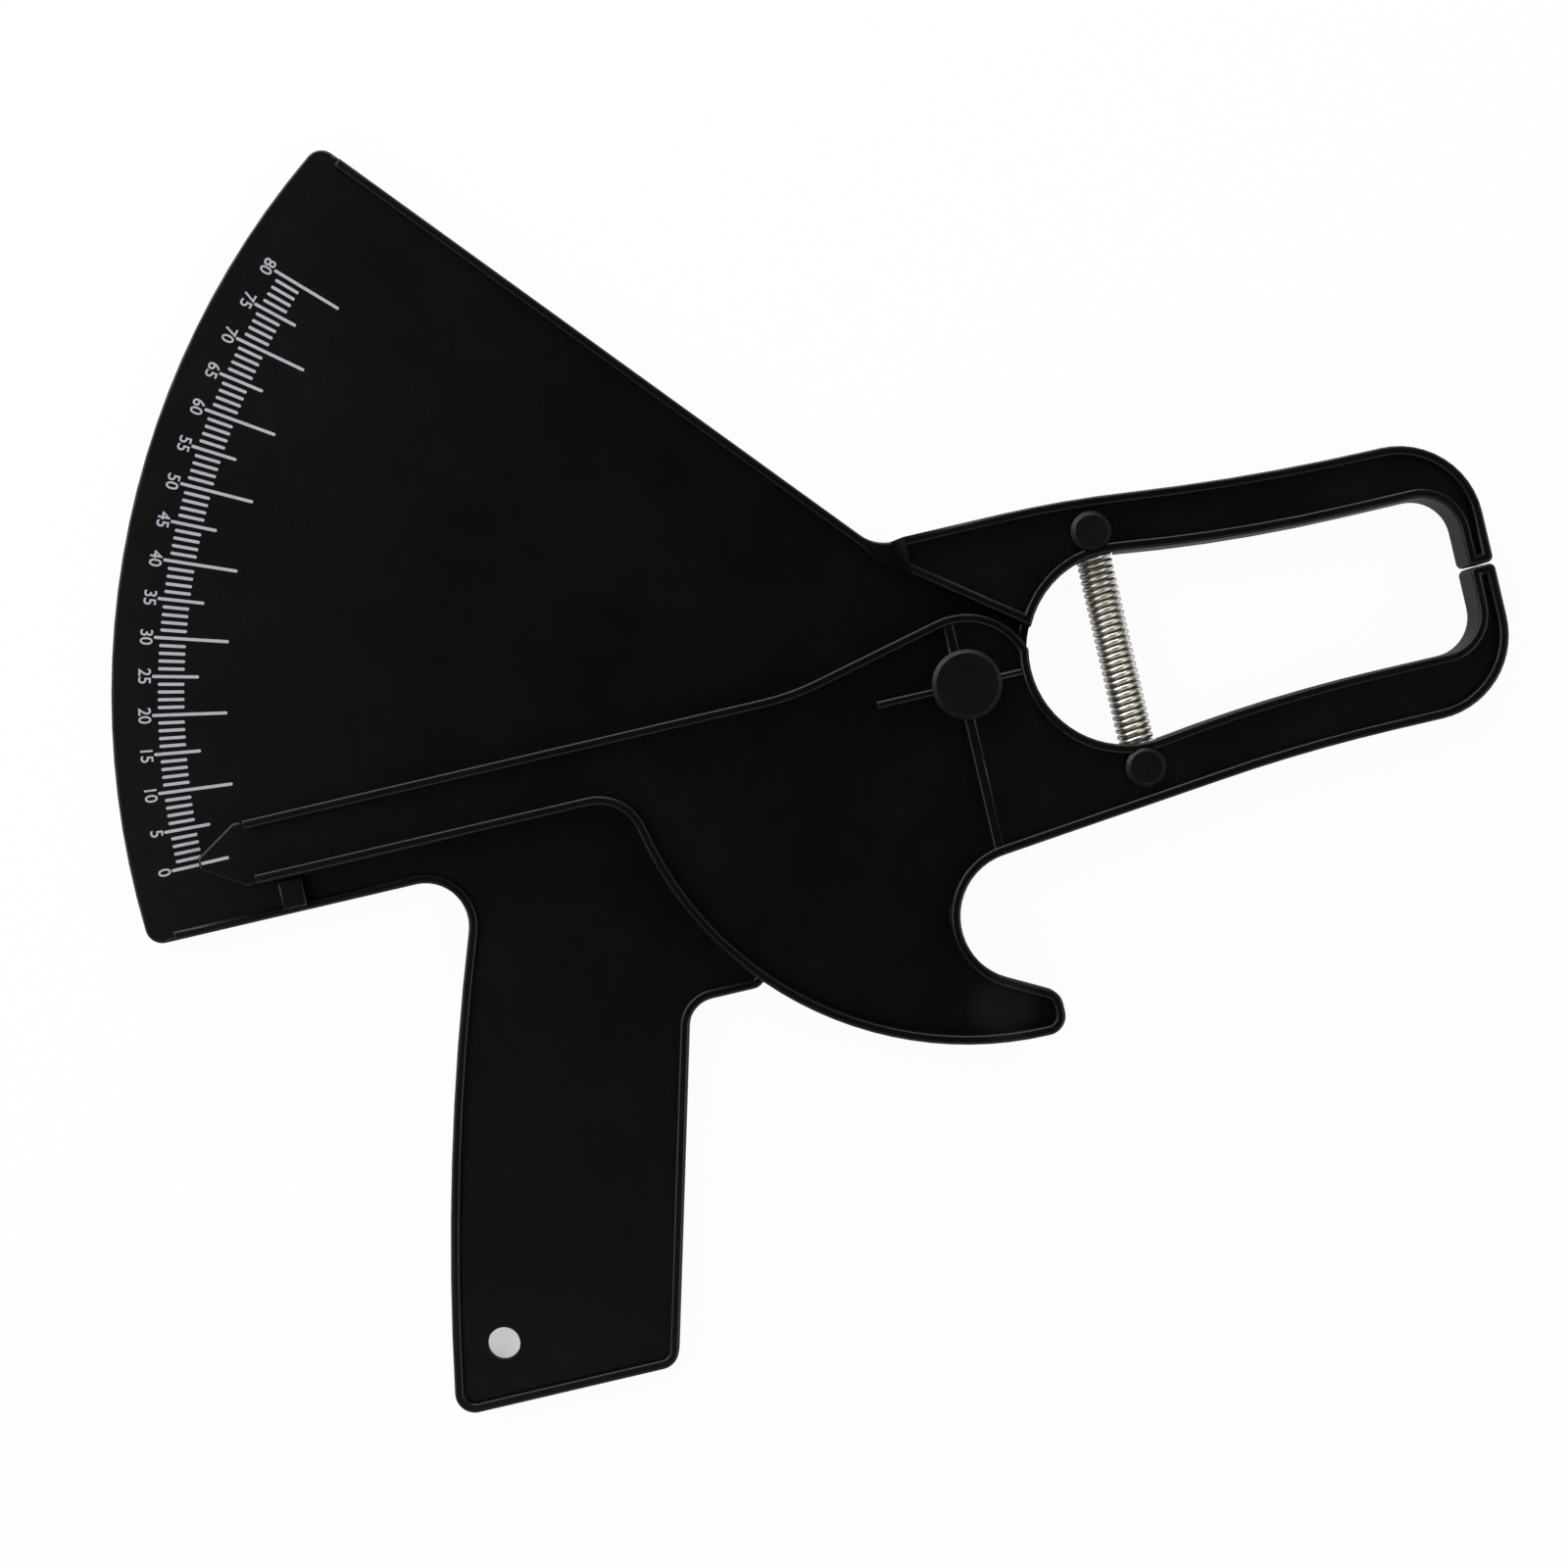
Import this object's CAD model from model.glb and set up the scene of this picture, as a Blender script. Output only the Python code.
import math

import bpy
from mathutils import Matrix, Vector


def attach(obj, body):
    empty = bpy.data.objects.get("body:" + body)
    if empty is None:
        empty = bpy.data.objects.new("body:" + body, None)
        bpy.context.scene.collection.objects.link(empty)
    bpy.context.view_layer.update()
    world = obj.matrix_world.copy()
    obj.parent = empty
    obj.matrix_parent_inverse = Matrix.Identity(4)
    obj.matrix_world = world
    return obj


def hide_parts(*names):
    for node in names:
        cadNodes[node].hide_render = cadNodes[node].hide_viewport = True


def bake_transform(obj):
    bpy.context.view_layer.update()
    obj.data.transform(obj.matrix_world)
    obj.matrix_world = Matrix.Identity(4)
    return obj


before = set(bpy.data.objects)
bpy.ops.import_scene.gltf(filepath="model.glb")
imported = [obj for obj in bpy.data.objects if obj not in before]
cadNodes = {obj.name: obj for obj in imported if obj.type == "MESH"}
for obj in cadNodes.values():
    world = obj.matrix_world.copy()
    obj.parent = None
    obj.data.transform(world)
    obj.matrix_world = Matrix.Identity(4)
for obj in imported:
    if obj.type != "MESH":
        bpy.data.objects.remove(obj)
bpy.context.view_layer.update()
mm = 0.001
print("frame loaded:", len(cadNodes), "nodes")


# ---- small helpers

def deselectAll():
    if bpy.context.mode != "OBJECT":
        bpy.ops.object.mode_set(mode="OBJECT")
    bpy.ops.object.select_all(action="DESELECT")


def pick(*objects):
    deselectAll()
    for thing in objects:
        thing.select_set(True)
    bpy.context.view_layer.objects.active = objects[0]


def settle(thing):  # place, turn and size go into the mesh
    pick(thing)
    bpy.ops.object.transform_apply(location=True, rotation=True, scale=True)


def newMaterial(name, colour, roughness, metallic=0.0, gloss=0.5):
    material = bpy.data.materials.new(name)
    material.use_nodes = True
    material.diffuse_color = (*colour, 1.0)
    shader = material.node_tree.nodes["Principled BSDF"]
    shader.inputs["Base Color"].default_value = (*colour, 1.0)
    shader.inputs["Roughness"].default_value = roughness
    shader.inputs["Metallic"].default_value = metallic
    shader.inputs["Specular IOR Level"].default_value = gloss
    return material, material.node_tree, shader


def feed(tree, socket, value):  # value is another node's output or a constant
    if isinstance(value, bpy.types.NodeSocket):
        tree.links.new(value, socket)
    else:
        socket.default_value = value


def addNode(tree, kind, **inputs):  # a node with some of its inputs fed by name
    node = tree.nodes.new(kind)
    for name, value in inputs.items():
        feed(tree, node.inputs[name], value)
    return node


def vectorMath(tree, kind, *vectors):
    node = tree.nodes.new("ShaderNodeVectorMath")
    node.operation = kind
    for socket, vector in zip(node.inputs, vectors):
        feed(tree, socket, vector)
    return node.outputs["Value"]


def objectPlace(tree, centre=(0, 0, 0), stretch=(1, 1, 1)):  # Object coordinates, centred on a piece
    place = tree.nodes.new("ShaderNodeTexCoord")
    mapping = addNode(tree, "ShaderNodeMapping", Vector=place.outputs["Object"])
    mapping.inputs["Location"].default_value = [-c * s for c, s in zip(centre, stretch)]
    mapping.inputs["Scale"].default_value = stretch
    return mapping.outputs["Vector"]


def noise(tree, place, scale, detail=2.0, roughness=0.5):
    return addNode(tree, "ShaderNodeTexNoise", Vector=place, Scale=scale, Detail=detail,
                   Roughness=roughness).outputs["Fac"]


def spread(tree, value, low, high, start=0.3, end=0.7):  # a noise's middle range onto two limits
    node = addNode(tree, "ShaderNodeMapRange", Value=value)
    for name, number in (("From Min", start), ("From Max", end), ("To Min", low), ("To Max", high)):
        node.inputs[name].default_value = number
    return node.outputs["Result"]


def blendColours(tree, factor, first, second):
    node = tree.nodes.new("ShaderNodeMix")
    node.data_type = "RGBA"
    feed(tree, node.inputs[0], factor)
    for index, colour in ((6, first), (7, second)):
        feed(tree, node.inputs[index], (*colour, 1.0) if isinstance(colour, tuple) else colour)
    return node.outputs[2]


def patchy(tree, value, first, second, start=0.3, end=0.7):  # a noise blends two colours
    return blendColours(tree, spread(tree, value, 0.0, 1.0, start, end), first, second)


def mixValues(tree, factor, first, second):
    node = tree.nodes.new("ShaderNodeMix")
    for index, value in ((0, factor), (2, first), (3, second)):
        feed(tree, node.inputs[index], value)
    return node.outputs[0]


def combine(tree, kind, first, second=0.0):
    node = tree.nodes.new("ShaderNodeMath")
    node.operation = kind
    feed(tree, node.inputs[0], first)
    feed(tree, node.inputs[1], second)
    return node.outputs[0]


def average(tree, first, second, share=0.5):  # share is the weight of the first
    return combine(tree, "ADD", combine(tree, "MULTIPLY", first, share),
                   combine(tree, "MULTIPLY", second, 1.0 - share))


def levelness(tree):  # 1 on faces level with the piece's back, 0 on its walls, however it is turned
    place = tree.nodes.new("ShaderNodeTexCoord")
    facing = tree.nodes.new("ShaderNodeSeparateXYZ")
    tree.links.new(place.outputs["Normal"], facing.inputs[0])
    return combine(tree, "ABSOLUTE", facing.outputs["Z"])


def bump(tree, shader, layers):  # layers are (height, distance in metres, strength)
    normal = None
    for height, distance, strength in layers:
        node = addNode(tree, "ShaderNodeBump", Height=height, Distance=distance, Strength=strength)
        if normal is not None:
            tree.links.new(normal, node.inputs["Normal"])
        normal = node.outputs["Normal"]
    tree.links.new(normal, shader.inputs["Normal"])


# ---- black moulded plastic

moulding = {
    "colour": (0.0019, 0.0019, 0.0020),
    "worn": (0.0075, 0.0075, 0.0078),   # rubbed rims
    "dusty": (0.0028, 0.0028, 0.0030),
    "roughness": (0.19, 0.26), "gloss": 0.42,
    "wallRoughness": 0.5, "wallGloss": 0.03,   # where the surface stands upright
    "grain": 1900.0,                    # fine spark texture of the tool, per metre
    "flow": 38.0,                       # slow waves of the cooled surface
    "cloud": 160.0, "strokes": 2600.0, "strokeStretch": (1, 0.05, 1), "flowShare": 0.6,
    "edge": 0.5 * mm,
    # ranges of a noise, of a bend at a rim and of the tilt of a face
    "dustRange": (0.45, 0.8), "rubRange": (0.4, 0.65), "rubbed": (0.15, 0.8),
    "rimRange": (0.90, 0.995), "curvedRange": (0.5, 0.99), "uprightRange": (0.35, 0.75),
    # the trigger's tip, dulled by fingers: place, reach, colour
    "fingered": ((-7.4 * mm, -64.8 * mm, 11.0 * mm), 8.0 * mm, (0.0082, 0.0082, 0.0083)),
}


def makeMoulding(name, look):
    material, tree, shader = newMaterial(name, look["colour"], look["roughness"][0],
                                         gloss=look["gloss"])
    place = objectPlace(tree)
    flow = noise(tree, place, look["flow"], 3.0)
    cloud = noise(tree, place, look["cloud"], 4.0, 0.6)
    grain = noise(tree, place, look["grain"], 3.0, 0.6)
    drawnOut = objectPlace(tree, stretch=look["strokeStretch"])
    strokes = noise(tree, drawnOut, look["strokes"], 2.0, 0.7)
    shade = patchy(tree, cloud, look["colour"], look["dusty"], *look["dustRange"])
    tip, reach, dull = look["fingered"]
    away = vectorMath(tree, "LENGTH", objectPlace(tree, tip))
    near = spread(tree, away, 1.0, 0.0, 0.6 * reach, reach)
    shade = blendColours(tree, near, shade, dull)
    bevel = tree.nodes.new("ShaderNodeBevel")
    bevel.samples = 4
    bevel.inputs["Radius"].default_value = look["edge"]
    geometry = tree.nodes.new("ShaderNodeNewGeometry")
    bend = vectorMath(tree, "DOT_PRODUCT", bevel.outputs["Normal"], geometry.outputs["Normal"])
    rim = spread(tree, bend, 1.0, 0.0, *look["rimRange"])
    rubbed = combine(tree, "MULTIPLY", rim,
                     spread(tree, cloud, *look["rubbed"], *look["rubRange"]))
    shade = blendColours(tree, rubbed, shade, look["worn"])
    tree.links.new(shade, shader.inputs["Base Color"])
    rough = spread(tree, average(tree, flow, strokes, look["flowShare"]), *look["roughness"])
    level = levelness(tree)
    curved = spread(tree, level, 1.0, 0.0, *look["curvedRange"])
    upright = spread(tree, level, 1.0, 0.0, *look["uprightRange"])
    rough = mixValues(tree, curved, rough, look["wallRoughness"])
    gloss = mixValues(tree, upright, look["gloss"], look["wallGloss"])
    tree.links.new(rough, shader.inputs["Roughness"])
    tree.links.new(gloss, shader.inputs["Specular IOR Level"])
    bump(tree, shader, [(flow, 0.25 * mm, 0.35), (grain, 0.012 * mm, 0.5)])
    return material


blackMoulding = makeMoulding("blackMoulding", moulding)

cap = dict(moulding, colour=(0.0022, 0.0022, 0.0024), dusty=(0.0032, 0.0032, 0.0034),
           roughness=(0.22, 0.3), gloss=0.55, grain=2600.0, flow=120.0, edge=0.3 * mm)
blackCap = makeMoulding("blackCap", cap)


# ---- white printing ink

ink = {"colour": (0.43, 0.45, 0.50), "thin": (0.34, 0.36, 0.41), "roughness": (0.42, 0.6),
       "patches": 900.0, "pores": 5200.0}


def makeInk(name, look):
    material, tree, shader = newMaterial(name, look["colour"], look["roughness"][0])
    place = objectPlace(tree)
    patches = noise(tree, place, look["patches"], 4.0, 0.65)
    pores = noise(tree, place, look["pores"], 3.0, 0.6)
    shade = patchy(tree, patches, look["colour"], look["thin"], 0.5, 0.78)
    tree.links.new(shade, shader.inputs["Base Color"])
    tree.links.new(spread(tree, pores, *look["roughness"]), shader.inputs["Roughness"])
    bump(tree, shader, [(pores, 0.006 * mm, 0.5)])
    return material


whiteInk = makeInk("whiteInk", ink)


# ---- metals

turned = {"colour": (0.52, 0.52, 0.53), "dark": (0.34, 0.34, 0.36), "roughness": (0.2, 0.38),
          "rings": 2600.0, "marks": 700.0}
phosphated = {"colour": (0.075, 0.075, 0.08), "dark": (0.035, 0.035, 0.04),
              "roughness": (0.42, 0.6), "metallic": 0.85, "crystals": 4200.0, "stains": 420.0}


def makeTurned(name, look, centre):  # fine tool rings about the piece's own axis
    material, tree, shader = newMaterial(name, look["colour"], look["roughness"][0], 1.0)
    place = objectPlace(tree, centre)
    rings = addNode(tree, "ShaderNodeTexWave", Vector=place, Scale=look["rings"], Distortion=0.6,
                    Detail=2.0)
    rings.wave_type = "RINGS"
    rings.rings_direction = "Z"
    marks = noise(tree, place, look["marks"], 4.0, 0.6)
    shade = patchy(tree, marks, look["colour"], look["dark"], 0.5, 0.8)
    tree.links.new(shade, shader.inputs["Base Color"])
    rough = average(tree, rings.outputs["Fac"], marks)
    tree.links.new(spread(tree, rough, *look["roughness"]), shader.inputs["Roughness"])
    bump(tree, shader, [(rings.outputs["Fac"], 0.004 * mm, 0.5)])
    return material


def makePhosphated(name, look):
    material, tree, shader = newMaterial(name, look["colour"], look["roughness"][0],
                                         look["metallic"])
    place = objectPlace(tree)
    crystals = noise(tree, place, look["crystals"], 4.0, 0.65)
    stains = noise(tree, place, look["stains"], 3.0)
    shade = patchy(tree, stains, look["colour"], look["dark"], 0.4, 0.7)
    tree.links.new(shade, shader.inputs["Base Color"])
    tree.links.new(spread(tree, crystals, *look["roughness"]), shader.inputs["Roughness"])
    bump(tree, shader, [(crystals, 0.006 * mm, 0.6)])
    return material


nickel = {"colour": (0.74, 0.70, 0.62), "drawn": (0.56, 0.52, 0.45), "side": (0.12, 0.115, 0.11),
          "roughness": (0.24, 0.36), "clouds": 340.0, "lines": 3600.0, "sideRange": (0.15, 0.6)}


def makeNickel(name, look):  # drawn wire with a thin nickel plate
    material, tree, shader = newMaterial(name, look["colour"], look["roughness"][0], 1.0)
    place = objectPlace(tree)
    dulled = noise(tree, place, look["clouds"], 4.0, 0.6)
    drawn = noise(tree, objectPlace(tree, stretch=(0.25, 1, 0.25)), look["lines"], 3.0, 0.6)
    shade = patchy(tree, dulled, look["colour"], look["drawn"], 0.45, 0.8)
    upright = spread(tree, levelness(tree), 1.0, 0.0, *look["sideRange"])
    shade = blendColours(tree, upright, shade, look["side"])
    tree.links.new(shade, shader.inputs["Base Color"])
    rough = spread(tree, average(tree, dulled, drawn), *look["roughness"])
    tree.links.new(rough, shader.inputs["Roughness"])
    bump(tree, shader, [(drawn, 0.004 * mm, 0.4)])
    return material


nickelWire = makeNickel("nickelWire", nickel)
phosphatedSteel = makePhosphated("phosphatedSteel", phosphated)


# ---- natural nylon

nylon = {"colour": (0.78, 0.76, 0.69), "shade": (0.70, 0.67, 0.58), "roughness": (0.38, 0.5),
         "haze": 260.0, "lay": 2400.0}


def makeNylon(name, look):
    material, tree, shader = newMaterial(name, look["colour"], look["roughness"][0])
    place = objectPlace(tree)
    haze = noise(tree, place, look["haze"], 3.0)
    lay = noise(tree, place, look["lay"], 3.0, 0.6)
    shade = patchy(tree, haze, look["colour"], look["shade"])
    tree.links.new(shade, shader.inputs["Base Color"])
    tree.links.new(spread(tree, lay, *look["roughness"]), shader.inputs["Roughness"])
    bump(tree, shader, [(lay, 0.01 * mm, 0.4)])
    return material


naturalNylon = makeNylon("naturalNylon", nylon)
print("finishes made:", len(bpy.data.materials))


# ---- finishes on the parts that stay as they are

pins = {"upper": (31.1 * mm, 24.15 * mm, 0), "lower": (31.1 * mm, -24.15 * mm, 0)}
pivotSteel = makeTurned("pivotSteel", turned, (0, 0, 0))
finishes = {
    "scale_frame": blackMoulding, "moving_jaw": blackMoulding,
    "pivot_front_cap": blackCap, "pivot_back_cap": blackCap,
    "upper_pin_cap": blackCap, "lower_pin_cap": blackCap,
    "scale_graduations": whiteInk, "pointer_index": whiteInk,
    "pivot_shaft": pivotSteel, "pivot_front_washer": pivotSteel, "pivot_back_washer": pivotSteel,
    "pivot_retaining_ring": phosphatedSteel,
    "upper_pin_clip": phosphatedSteel, "lower_pin_clip": phosphatedSteel,
    "pivot_bush": naturalNylon, "thrust_washer": naturalNylon,
    "return_spring": nickelWire, "return_spring_hook": nickelWire,
}
for end, centre in pins.items():
    finishes[end + "_spring_pin"] = makeTurned(end + "PinSteel", turned, centre)
for name, finish in finishes.items():
    node = cadNodes[name]
    node.data.materials.clear()
    node.data.materials.append(finish)
print("finishes given to", len(finishes), "nodes")


# ---- the two large mouldings, shaded smooth round their rims

smoothing = {"angle": 34.0, "merge": 0.0005 * mm, "flat": 0.3, "tilt": 1.5}
mouldings = {"scaleFrame": ("scale_frame", "frame"), "movingJaw": ("moving_jaw", "jaw")}


def evenFlats(piece):
    weighted = piece.modifiers.new("evenFlats", "WEIGHTED_NORMAL")
    weighted.keep_sharp = True
    bpy.ops.object.modifier_apply(modifier=weighted.name)


def sharpenFlats(mesh, tilt):  # a sliver face beside a level one would tilt its shading
    corners = [corner.vector.copy() for corner in mesh.corner_normals]
    for face in mesh.polygons:
        loops = list(face.loop_indices) if abs(face.normal.z) > 0.9999 else []
        for at, loop in enumerate(loops):
            if corners[loop].angle(face.normal, 0) > tilt:
                for side in (loop, loops[at - 1]):
                    mesh.edges[mesh.loops[side].edge_index].use_edge_sharp = True


def smoothCopy(name, nodeName, body, look):
    pick(cadNodes[nodeName])
    bpy.ops.object.duplicate()
    piece = bpy.context.view_layer.objects.active
    piece.name = name
    pick(piece)
    bpy.ops.object.mode_set(mode="EDIT")
    bpy.ops.mesh.select_all(action="SELECT")
    bpy.ops.mesh.remove_doubles(threshold=look["merge"])
    bpy.ops.mesh.dissolve_limited(angle_limit=math.radians(look["flat"]))
    bpy.ops.object.mode_set(mode="OBJECT")
    bpy.ops.object.shade_smooth_by_angle(angle=math.radians(look["angle"]))
    evenFlats(piece)
    sharpenFlats(piece.data, math.radians(look["tilt"]))
    evenFlats(piece)
    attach(piece, body)
    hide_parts(nodeName)
    return piece


for name, (nodeName, body) in mouldings.items():
    piece = smoothCopy(name, nodeName, body, smoothing)
    print(name, "has", len(piece.data.polygons), "faces")


# ---- return spring: close-wound wire with a loop at each end

spring = {
    "x": 31.1 * mm, "level": 5.0 * mm,
    "pin": 24.15 * mm, "end": 20.65 * mm,
    "radius": 3.07 * mm, "wire": 0.57 * mm,
    "turns": 31, "stepsPerTurn": 28, "wireSides": 14,
    "loop": 2.15 * mm, "touch": 35.0, "sweep": 285.0, "loopSteps": 44,
    "smooth": 50.0, "barCuts": 4,
}


def wireRing(place, turn, look):  # one section of the wire
    bpy.ops.mesh.primitive_circle_add(vertices=look["wireSides"], radius=look["wire"],
                                      fill_type="NOTHING", location=place, rotation=turn)
    ring = bpy.context.active_object
    settle(ring)
    return ring


def makeCoil(look):
    ring = wireRing((look["radius"], 0, 0), (math.radians(90), 0, 0), look)
    pitch = 2 * look["end"] / look["turns"]
    winding = ring.modifiers.new("winding", "SCREW")
    winding.axis = "Z"
    winding.screw_offset = pitch
    winding.iterations = look["turns"]
    winding.steps = winding.render_steps = look["stepsPerTurn"]
    winding.use_merge_vertices = False
    pick(ring)
    bpy.ops.object.modifier_apply(modifier=winding.name)
    ring.rotation_euler = (math.radians(-90), 0, 0)  # the axis lies along Y
    ring.location = (look["x"], -look["end"], look["level"])
    settle(ring)
    return ring


def makeLoop(side, look):  # side 1 is the upper pin
    centre = Vector((look["x"], side * look["pin"], look["level"]))
    angle = math.radians(look["touch"])
    out = Vector((math.cos(angle), -side * math.sin(angle), 0))
    ring = wireRing(centre + out * look["loop"],
                    (math.radians(90), 0, math.atan2(out.y, out.x)), look)
    pick(ring)
    bpy.ops.object.mode_set(mode="EDIT")
    bpy.ops.mesh.select_all(action="SELECT")
    bpy.ops.mesh.spin(steps=look["loopSteps"], angle=side * math.radians(look["sweep"]),
                      center=centre, axis=(0, 0, 1))
    bpy.ops.object.mode_set(mode="OBJECT")
    return ring


def openRims(thing, inside):  # selects the open rims whose middle passes a test
    mesh = thing.data
    bpy.ops.object.mode_set(mode="EDIT")
    bpy.ops.mesh.select_mode(type="EDGE")
    bpy.ops.mesh.select_all(action="DESELECT")
    bpy.ops.mesh.select_non_manifold(extend=False, use_wire=False, use_multi_face=False,
                                     use_non_contiguous=False, use_verts=False)
    bpy.ops.object.mode_set(mode="OBJECT")
    for edge in mesh.edges:
        if edge.select:
            a, b = (mesh.vertices[i].co for i in edge.vertices)
            edge.select = inside((a + b) / 2)
    for vertex in mesh.vertices:
        vertex.select = False
    for edge in mesh.edges:
        if edge.select:
            for index in edge.vertices:
                mesh.vertices[index].select = True
    for face in mesh.polygons:
        face.select = False
    bpy.ops.object.mode_set(mode="EDIT")


def barEnds(side, look):  # a test for the rims that a bar joins
    touch = math.radians(look["touch"])
    coilEdgeX = look["x"] + look["radius"]
    loopStart = Vector((look["x"] + look["loop"] * math.cos(touch),
                        side * (look["pin"] - look["loop"] * math.sin(touch)), look["level"]))

    def nearBar(place):
        onTurn = (abs(place.y - side * look["end"]) < 2 * look["wire"]
                  and abs(place.x - coilEdgeX) < 2 * look["wire"])
        return onTurn or (place - loopStart).length < 1.5 * look["wire"]

    return nearBar


coil = makeCoil(spring)
loops = [makeLoop(side, spring) for side in (1, -1)]
pick(coil, *loops)
bpy.ops.object.join()
returnSpring = bpy.context.active_object
returnSpring.name = "returnSpring"
for side in (1, -1):  # the bars from the last turns to the loops
    openRims(returnSpring, barEnds(side, spring))
    bpy.ops.mesh.bridge_edge_loops(number_cuts=spring["barCuts"], smoothness=0.8)
    bpy.ops.object.mode_set(mode="OBJECT")
openRims(returnSpring, lambda place: True)  # the cut ends of the loops
bpy.ops.mesh.edge_face_add()
bpy.ops.mesh.select_all(action="SELECT")
bpy.ops.mesh.normals_make_consistent(inside=False)
bpy.ops.object.mode_set(mode="OBJECT")
bpy.ops.object.shade_smooth_by_angle(angle=math.radians(spring["smooth"]))
returnSpring.data.materials.clear()
returnSpring.data.materials.append(nickelWire)
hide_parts("return_spring", "return_spring_hook")
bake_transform(returnSpring)
print("spring wound:", len(returnSpring.data.polygons), "faces")


# ---- printed numerals

numerals = {
    "last": 80, "step": 5, "degreesPerMm": 0.5525,
    "distance": 165.7 * mm, "height": 2.62 * mm, "narrow": 0.92, "bolder": 0.035 * mm,
    "face": 4.4 * mm, "ink": 0.12 * mm,
    "fanCentre": (-4.3 * mm, -0.7 * mm),
    "capHeight": 0.729,                 # of a digit, for a text size of 1
    "merge": 0.001 * mm,
}


def makeNumeral(reading, look):
    angle = math.radians(180 - reading * look["degreesPerMm"])
    out = Vector((math.cos(angle), math.sin(angle), 0))
    shiftX, shiftY = look["fanCentre"]
    middle = out * (look["distance"] + shiftX * (out.x + 1) + shiftY * out.y)
    bpy.ops.object.text_add(location=(0, 0, 0))
    text = bpy.context.active_object
    text.data.body = str(reading)
    text.data.align_x = "CENTER"
    text.data.size = look["height"] / look["capHeight"]
    text.data.offset = look["bolder"]
    text.data.extrude = look["ink"] / 2
    pick(text)
    bpy.ops.object.convert(target="MESH")
    text = bpy.context.active_object
    text.scale = (look["narrow"], 1, 1)
    settle(text)
    text.rotation_euler = (0, 0, angle + math.radians(90))   # its foot points outwards
    foot = middle + out * look["height"] / 2
    text.location = (foot.x, foot.y, look["face"] + look["ink"] / 2)
    settle(text)
    return text


digits = [makeNumeral(reading, numerals)
          for reading in range(0, numerals["last"] + 1, numerals["step"])]
pick(*digits)
bpy.ops.object.join()
scaleNumerals = bpy.context.active_object
scaleNumerals.name = "scaleNumerals"
bpy.ops.object.mode_set(mode="EDIT")
bpy.ops.mesh.select_all(action="SELECT")
bpy.ops.mesh.remove_doubles(threshold=numerals["merge"])
bpy.ops.mesh.normals_make_consistent(inside=False)
bpy.ops.object.mode_set(mode="OBJECT")
scaleNumerals.data.materials.clear()
scaleNumerals.data.materials.append(whiteInk)
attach(scaleNumerals, "frame")
print("numerals printed:", len(digits))


# ---- floor, light and camera

studio = {
    "floor": 30.0, "floorDrop": 0.02 * mm, "floorColour": (0.95, 0.95, 0.95), "floorRough": 0.9,
    "whiteShare": 0.95,
    # a duller spot of floor that shows in the hanging hole: place, reach, white share
    "spot": ((-120.7 * mm, -108.1 * mm, 0), 6.5 * mm, 0.44),
    "upInImage": (0.2275, 0.9738), "aim": (-0.03, 0, 0),
    # turn from the picture's top, rise, distance, width and height, watts
    "keyLamp": (14.0, 22.0, 1.3, (1.3, 0.45), 9.0),
    "edgeLamp": (58.0, 16.0, 1.3, (0.7, 0.3), 3.0),
    "leftLamp": (76.0, 44.0, 1.3, (1.2, 0.6), 4.5),
    "rightLamp": (-104.0, 44.0, 1.3, (1.2, 0.6), 3.5),
    "fillLamp": (180.0, 48.0, 1.5, (1.2, 1.0), 2.0),
    "ambient": 0.36, "zenith": 0.012, "horizon": 0.4, "belowImage": 0.3,
    "darkest": (0.0877, 0.0690, 0.9938),   # where overhead the air is darkest
    "darkRange": (0.90, 0.975), "belowRange": (-0.7, 0.0),
}
camera = {"place": (-0.040, -0.011, 0.650), "turn": -13.15, "lens": 73.44, "sensor": 36.0,
          "clip": (0.01, 100.0)}


def rayKinds(tree):  # rays from the camera, and rays that mirrors and clear things pass on
    path = tree.nodes.new("ShaderNodeLightPath")
    mirrored = combine(tree, "MAXIMUM", path.outputs["Is Glossy Ray"],
                       path.outputs["Is Transmission Ray"])
    return path.outputs["Is Camera Ray"], mirrored


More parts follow.
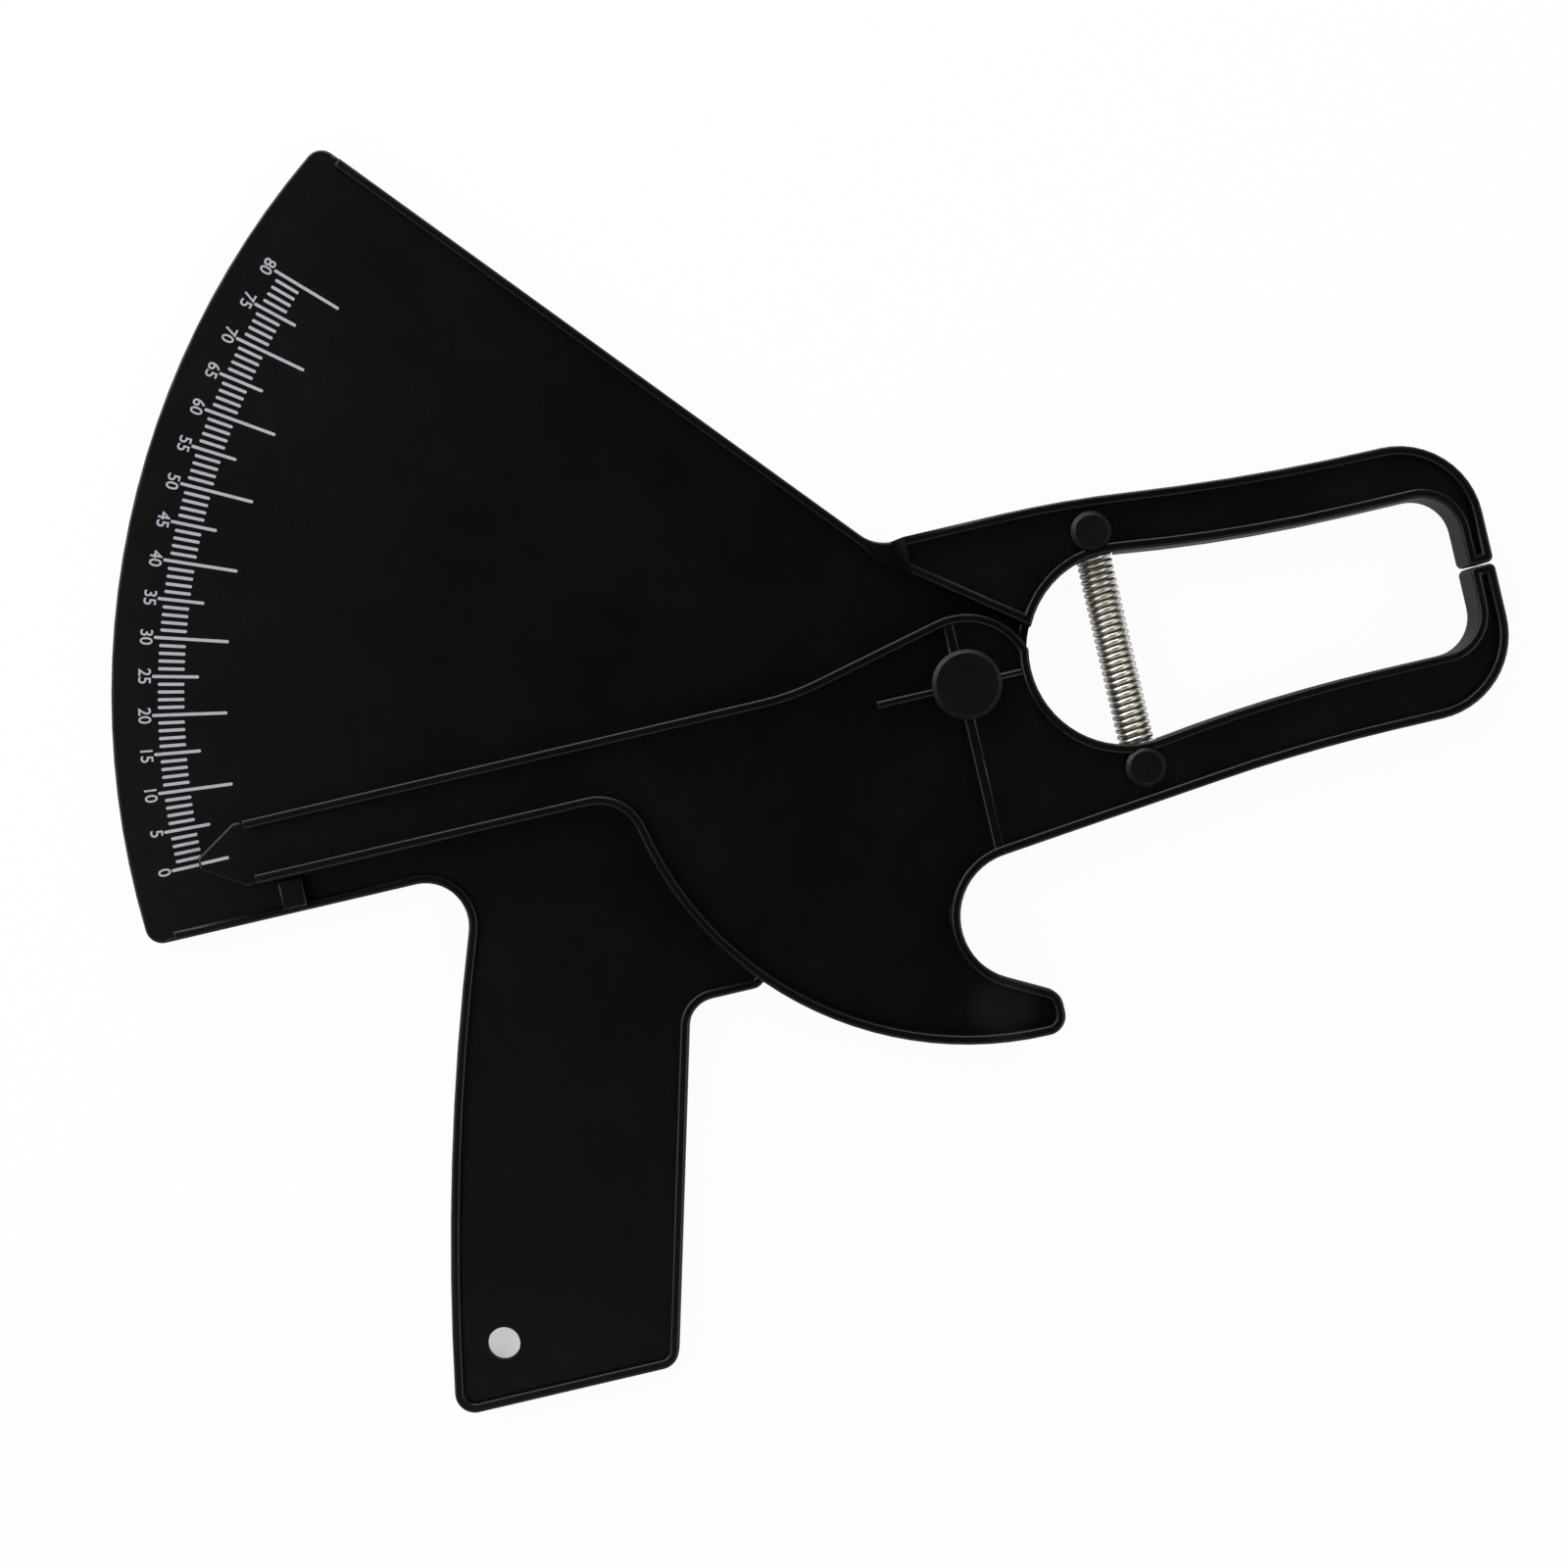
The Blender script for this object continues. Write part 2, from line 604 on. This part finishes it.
def makeFloor(look):
    deselectAll()
    bpy.ops.mesh.primitive_plane_add(size=look["floor"], location=(0, 0, -look["floorDrop"]))
    floor = bpy.context.active_object
    floor.name = "floor"
    material, tree, shader = newMaterial("paleFloor", look["floorColour"], look["floorRough"],
                                         gloss=0.0)
    camerasRay, mirrored = rayKinds(tree)
    seen = combine(tree, "MAXIMUM", camerasRay, mirrored)
    glow = addNode(tree, "ShaderNodeEmission", Color=(1, 1, 1, 1), Strength=1.0)
    centre, reach, dim = look["spot"]
    away = vectorMath(tree, "LENGTH", objectPlace(tree, centre))
    whiteness = spread(tree, away, dim, look["whiteShare"], 0.85 * reach, reach)
    mix = tree.nodes.new("ShaderNodeMixShader")
    tree.links.new(combine(tree, "MULTIPLY", seen, whiteness), mix.inputs[0])
    tree.links.new(shader.outputs[0], mix.inputs[1])
    tree.links.new(glow.outputs[0], mix.inputs[2])
    tree.links.new(mix.outputs[0], tree.nodes["Material Output"].inputs["Surface"])
    floor.data.materials.append(material)
    return floor


def makeLamp(name, look):
    azimuth, rise, distance, size, watts = look[name]
    angle = math.radians(rise)
    towards = Vector((*look["upInImage"], 0)).normalized()
    towards.rotate(Matrix.Rotation(math.radians(azimuth), 3, "Z"))
    target = Vector(look["aim"])
    place = (towards * math.cos(angle) + Vector((0, 0, math.sin(angle)))) * distance + target
    bpy.ops.object.light_add(type="AREA", location=place)
    lamp = bpy.context.active_object
    lamp.name = name
    lamp.data.shape = "RECTANGLE"
    lamp.data.size, lamp.data.size_y = size
    lamp.data.energy = watts
    lamp.rotation_euler = (target - place).to_track_quat("-Z", "Y").to_euler()
    return lamp


def makeWorld(look):
    world = bpy.data.worlds.new("studioAir")
    bpy.context.scene.world = world
    world.use_nodes = True
    tree = world.node_tree
    direction = tree.nodes.new("ShaderNodeTexCoord").outputs["Generated"]
    overhead = vectorMath(tree, "DOT_PRODUCT", direction, look["darkest"])
    glow = spread(tree, overhead, look["horizon"], look["zenith"], *look["darkRange"])
    upward = vectorMath(tree, "DOT_PRODUCT", direction, (*look["upInImage"], 0))
    side = spread(tree, upward, look["belowImage"], 1.0, *look["belowRange"])
    glow = combine(tree, "MULTIPLY", glow, side)
    camerasRay, mirrored = rayKinds(tree)
    level = blendColours(tree, mirrored, (look["ambient"],) * 3, glow)
    level = blendColours(tree, camerasRay, level, (1, 1, 1))
    tree.links.new(level, tree.nodes["Background"].inputs["Color"])


makeFloor(studio)
for name in ("keyLamp", "edgeLamp", "leftLamp", "rightLamp", "fillLamp"):
    makeLamp(name, studio)
makeWorld(studio)
bpy.ops.object.camera_add(location=camera["place"], rotation=(0, 0, math.radians(camera["turn"])))
eye = bpy.context.active_object
eye.data.lens = camera["lens"]
eye.data.sensor_width = camera["sensor"]
eye.data.clip_start, eye.data.clip_end = camera["clip"]
bpy.context.scene.camera = eye
bpy.context.scene.view_settings.view_transform = "Standard"
print("studio set")

bpy.context.view_layer.update()
